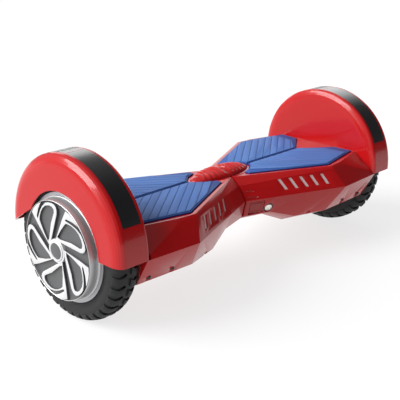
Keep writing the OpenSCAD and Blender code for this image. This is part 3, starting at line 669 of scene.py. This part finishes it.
# %% Shape the ribbed bridge
low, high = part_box("ribbed_bridge_right")
DOME_L, DOME_W, DOME_H = high.x, high.y, high.z - DECK
DOME_RINGS = 128
RIDGE_FIRST, RIDGE_PITCH, RIDGE_FULLNESS = 8, 8.8, 0.6
RIDGES_FROM, RIDGES_TO = 2, 47
RIDGES_IN, RIDGES_OUT = 2, 5  # how softly the ridges begin and end along the dome
RIDGE_DEPTH, RIM_DEPTH, RIM_REACH = 0.24, 0.12, 3.5
FADE_FROM, FADE_OVER = math.radians(18), math.radians(30)


def unit(value):
    return max(0, min(1, value))


def make_dome():
    deselect()
    bpy.ops.mesh.primitive_uv_sphere_add(
        segments=DOME_RINGS, ring_count=DOME_RINGS, radius=1, rotation=(0, math.pi / 2, 0))
    dome = bpy.context.object
    bpy.ops.object.transform_apply(rotation=True)
    for vertex in dome.data.vertices:
        x, y, z = vertex.co
        fade = unit((math.atan2(z, abs(y) + 1e-9) - FADE_FROM) / FADE_OVER)
        along = x * DOME_L / mm
        reach = unit((RIDGES_TO - along) / RIDGES_OUT) * unit((along - RIDGES_FROM) / RIDGES_IN)
        wave = max(0, math.cos(2 * math.pi * (along - RIDGE_FIRST) / RIDGE_PITCH))
        rise = 1 - RIDGE_DEPTH * (1 - fade * reach * wave ** RIDGE_FULLNESS)
        rise *= 1 - RIM_DEPTH * max(0, 1 - abs(along) / RIM_REACH)
        vertex.co = (x * DOME_L, y * DOME_W, DECK + z * DOME_H * rise)
    bpy.ops.object.mode_set(mode="EDIT")
    for point, normal in (((low.x, 0, 0), (1, 0, 0)), ((0, 0, DECK + 0.05 * mm), (0, 0, 1))):
        bpy.ops.mesh.select_all(action="SELECT")
        bpy.ops.mesh.bisect(plane_co=point, plane_no=normal, clear_inner=True, use_fill=True)
    close_up()
    dome.data.materials.append(RED)
    return dome


dome = make_dome()
dome.name = "bridge_dome_right"
dome_left = mirror_copy(dome, "bridge_dome_left")
hand_over(dome, "right_half", "ribbed_bridge_right", smooth=60)
hand_over(dome_left, "left_half", "ribbed_bridge_left", smooth=60)

# %% [markdown]
# ## The tyres
# A solid rubber tyre with a round section. Its tread is a row of slanting lugs over each shoulder, with a groove
# round the middle where the two rows meet, half a step apart. The carcass is spun from its section. One lug is
# spun through a few degrees from the section's outer line, slanted, bevelled, and copied round the wheel.

# %% Draw the tread's line
BEAD_R, BEAD_W = TYRE_R - 31.5 * mm, 16.8 * mm
SIDEWALL_R = BEAD_R + 13 * mm
SQUARENESS = 0.8
SIDE_SHARE = 0.4  # how much of a shrink reaches the sides


def tread_line(shrink, start, stop, count):
    """Points over the tread from one sidewall to the other, as angles; shrink draws the line inwards."""
    line = []
    for i in range(count + 1):
        angle = math.radians(start + (stop - start) * i / count)
        c, s = math.cos(angle), math.sin(angle)
        reach = TYRE_R - shrink - SIDEWALL_R
        half = TYRE_W / 2 - shrink * SIDE_SHARE
        line.append((SIDEWALL_R + reach * s ** SQUARENESS, half * math.copysign(abs(c) ** SQUARENESS, c)))
    return line


print("Sidewall starts", round(SIDEWALL_R / mm, 1), "mm from the axle")

# %% Spin the tyre and its lugs
CARCASS_DEPTH, LUG_FOOT = 2.6 * mm, 3.2 * mm
LUG_COUNT, LUG_SPAN, LUG_SLANT = 36, math.radians(6.4), math.radians(5.5)
LUG_FROM, LUG_TO, LUG_STEPS = 20, 84, 8
LUG_BEND = 2.6
LIP_H, LIP_W = 5 * mm, 1 * mm


def about_axle(angle):
    return Matrix.Translation(WHEEL) @ Matrix.Rotation(angle, 4, "X") @ Matrix.Translation(-WHEEL)


def make_lug():
    outer = tread_line(0, LUG_FROM, LUG_TO, LUG_STEPS)
    inner = tread_line(LUG_FOOT, LUG_FROM, LUG_TO, LUG_STEPS)
    lug = outline("lug", [(WHEEL.x + x, 0, WHEEL.z + r) for r, x in outer + inner[::-1]])
    bpy.ops.mesh.spin(steps=2, angle=LUG_SPAN, center=WHEEL, axis=(1, 0, 0))
    close_up(merge=1e-6)
    for vertex in lug.data.vertices:
        out = vertex.co.x - WHEEL.x
        vertex.co = about_axle(LUG_SLANT * math.sin(out / (TYRE_W / 2) * LUG_BEND)) @ vertex.co
    bevel(lug, 0.45 * mm, 1, 50)
    lug.data.materials.append(TYRE)
    return lug


def make_tyre():
    section = [(BEAD_R, BEAD_W), (BEAD_R + LIP_H, BEAD_W + LIP_W)] + tread_line(CARCASS_DEPTH, 0, 180, 28)
    section += [(BEAD_R + LIP_H, -BEAD_W - LIP_W), (BEAD_R, -BEAD_W)]
    carcass = spin_round("carcass", section, WHEEL, steps=120)
    carcass.data.materials.append(TYRE)
    lug = make_lug()
    lugs = []
    for row in (0, 1):
        for i in range(LUG_COUNT):
            one = own_copy(lug, "lug")
            if row:
                one.data.transform(Matrix.Translation((2 * WHEEL.x, 0, 0)) @ Matrix.Diagonal((-1, 1, 1, 1)))
                one.data.flip_normals()
            one.data.transform(about_axle(2 * math.pi * (i + 0.5 * row) / LUG_COUNT))
            lugs.append(one)
    bpy.data.objects.remove(lug)
    return join([carcass] + lugs, "tread_tyre_right")


tyre = make_tyre()
tyre_left = mirror_copy(tyre, "tread_tyre_left")
hand_over(tyre, "wheel_right", "tyre_right", smooth=40)
hand_over(tyre_left, "wheel_left", "tyre_left", smooth=40)

# %% [markdown]
# ## The hub cover's rim
# The cover is a plastic moulding made to look like a cut alloy wheel: a bright rim with a sloping flank, a dark
# sunken floor, and a bright ring round the centre cap. All of this is round, so one section is spun about the
# axle, and the faces get their finish by how far out and how deep they lie.

# %% Spin the rim and the floor
low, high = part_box("hub_cover_right")
FOOT_X, FACE_X = low.x - WHEEL.x, high.x - WHEEL.x
RIM_R = (high.z - low.z) / 2
FLOOR_X = FACE_X - 4.2 * mm
RING_R = 17 * mm


def from_axle(face):
    return math.hypot(face.center.y - WHEEL.y, face.center.z - WHEEL.z)


def paint_faces(piece, materials, chooser):
    piece.data.materials.clear()
    for material in materials:
        piece.data.materials.append(material)
    for face in piece.data.polygons:
        face.material_index = chooser(face)


def rim_finish(face):
    deep = face.center.x - WHEEL.x < FLOOR_X + 0.4 * mm
    if from_axle(face) < RING_R and not deep:
        return 2
    return 1 if deep and from_axle(face) < RIM_R - 3.95 * mm else 0


def make_rim():
    section = [
        (RIM_R, FOOT_X), (RIM_R, FOOT_X + 1.6 * mm), (RIM_R - 0.5 * mm, FOOT_X + 2.4 * mm),
        (RIM_R - 1.5 * mm, FOOT_X + 2.8 * mm), (RIM_R - 2.0 * mm, FOOT_X + 4.0 * mm),
        (RIM_R - 2.3 * mm, FOOT_X + 8 * mm), (RIM_R - 2.8 * mm, FACE_X - 2.0 * mm),
        (RIM_R - 3.1 * mm, FACE_X - 0.9 * mm), (RIM_R - 3.5 * mm, FACE_X - 0.6 * mm),
        (RIM_R - 3.9 * mm, FACE_X - 1.0 * mm), (RIM_R - 4.0 * mm, FLOOR_X),
        (16.5 * mm, FLOOR_X), (16.2 * mm, FACE_X - 0.4 * mm), (15.8 * mm, FACE_X),
        (12.4 * mm, FACE_X), (12.0 * mm, FACE_X - 0.4 * mm), (12.0 * mm, FLOOR_X - 2 * mm),
        (RIM_R - 6 * mm, FLOOR_X - 2 * mm), (RIM_R - 4 * mm, FOOT_X),
    ]
    rim = spin_round("rim", section, WHEEL, steps=144)
    paint_faces(rim, [SILVER, PETAL, SATIN], rim_finish)
    return rim


print("Rim is", round(2 * RIM_R / mm, 1), "mm across")

# %% [markdown]
# ## The petals
# Five slanted petals stand on the floor, each a bright band round a dark window, with a thin slit beside it. One
# petal is drawn as rings of points, each a distance from the axle in millimetres and an angle in degrees, because
# that is how such a wheel repeats. The outline is extruded, the window and the slit are sunk nearly to the floor
# by booleans, and only the top faces are painted bright, so the windows stay dark. Five turns make the set.

# %% Cut the petals and join the hub cover
PETAL_EDGE = [
    (15.6, -4), (50, 18), (64.4, 21), (65.4, 28), (65.7, 35), (65.7, 42), (65.6, 49.5), (63.6, 54),
    (64.0, 60), (63.8, 67), (62.6, 72), (60, 75), (56, 76.5), (51, 76.5), (15.6, 22),
]
PETAL_WINDOW = [
    (20.0, 7), (33, 19.0), (48.0, 26.6), (51, 31), (55.0, 39), (58.0, 46), (59.9, 53), (60.2, 61), (59, 67),
    (56.0, 70.5), (52, 70.5), (37, 58), (20.0, 24),
]
PETAL_SLIT = [
    (51.8, 23.6), (54.6, 25.4), (60.0, 35.6), (64.0, 43.0), (66.6, 48.0), (66.6, 55.0), (63.4, 54.5),
    (60.4, 46.5), (56.8, 38.6), (52.2, 28.0),
]
PETAL_COUNT = 5
PETAL_FOOT, WINDOW_FLOOR, CUT_H, TOP_LAYER = 0.5 * mm, 1.0 * mm, 6 * mm, 1.0 * mm


def petal_ring(plan, turn, depth):
    points = []
    for radius, degrees in plan:
        angle = math.radians(degrees) + turn
        points.append((depth, WHEEL.y - radius * mm * math.sin(angle), WHEEL.z + radius * mm * math.cos(angle)))
    return points


def thick(name, points, rise):
    piece = outline(name, points)
    bpy.ops.mesh.extrude_region_move(TRANSFORM_OT_translate={"value": (rise, 0, 0)})
    close_up()
    return piece


def make_petal(turn):
    base = WHEEL.x + FLOOR_X - PETAL_FOOT
    petal = thick("petal", petal_ring(PETAL_EDGE, turn, base), FACE_X - FLOOR_X)
    for cut in (PETAL_WINDOW, PETAL_SLIT):
        boolean(petal, thick("cut", petal_ring(cut, turn, base + WINDOW_FLOOR), CUT_H), "DIFFERENCE")
    bevel(petal, 0.3 * mm, 2, 50)
    top = FACE_X - TOP_LAYER
    paint_faces(petal, [SATIN, PETAL], lambda face: 0 if face.center.x - WHEEL.x > top else 1)
    return petal


rim = make_rim()
petals = [make_petal(2 * math.pi * i / PETAL_COUNT) for i in range(PETAL_COUNT)]
hub = join([rim] + petals, "petal_cover_right")
hub_left = mirror_copy(hub, "petal_cover_left")
hand_over(hub, "wheel_right", "hub_cover_right", smooth=30)
hand_over(hub_left, "wheel_left", "hub_cover_left", smooth=30)

# %% [markdown]
# ## The centre caps
# A dark plug with a bright rim closes the hub. Its stem fits the cover's middle hole, its edge is rounded, and its
# face is a little dished. It is turned like the button, and painted by distance from the axle.

# %% Turn the centre caps
low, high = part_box("hub_cap_right")
CAP_R = (high.z - low.z) / 2
CAP_X = high.x - WHEEL.x
STEM_R = 11.7 * mm
cap_section = [
    (0, CAP_X - 5.0 * mm), (STEM_R, CAP_X - 5.0 * mm), (STEM_R, CAP_X - 1.3 * mm), (CAP_R, CAP_X - 1.3 * mm),
    (CAP_R, CAP_X - 0.5 * mm), (CAP_R - 0.6 * mm, CAP_X), (CAP_R - 2.0 * mm, CAP_X),
    (CAP_R - 2.4 * mm, CAP_X - 0.8 * mm), (CAP_R - 6 * mm, CAP_X - 0.35 * mm), (0, CAP_X - 0.2 * mm),
]
cap = spin_round("centre_cap_right", cap_section, WHEEL, steps=72)
paint_faces(cap, [SATIN, PETAL], lambda face: 1 if from_axle(face) < CAP_R - 2.3 * mm else 0)
cap_left = mirror_copy(cap, "centre_cap_left")
hand_over(cap, "wheel_right", "hub_cap_right", smooth=30)
hand_over(cap_left, "wheel_left", "hub_cap_left", smooth=30)
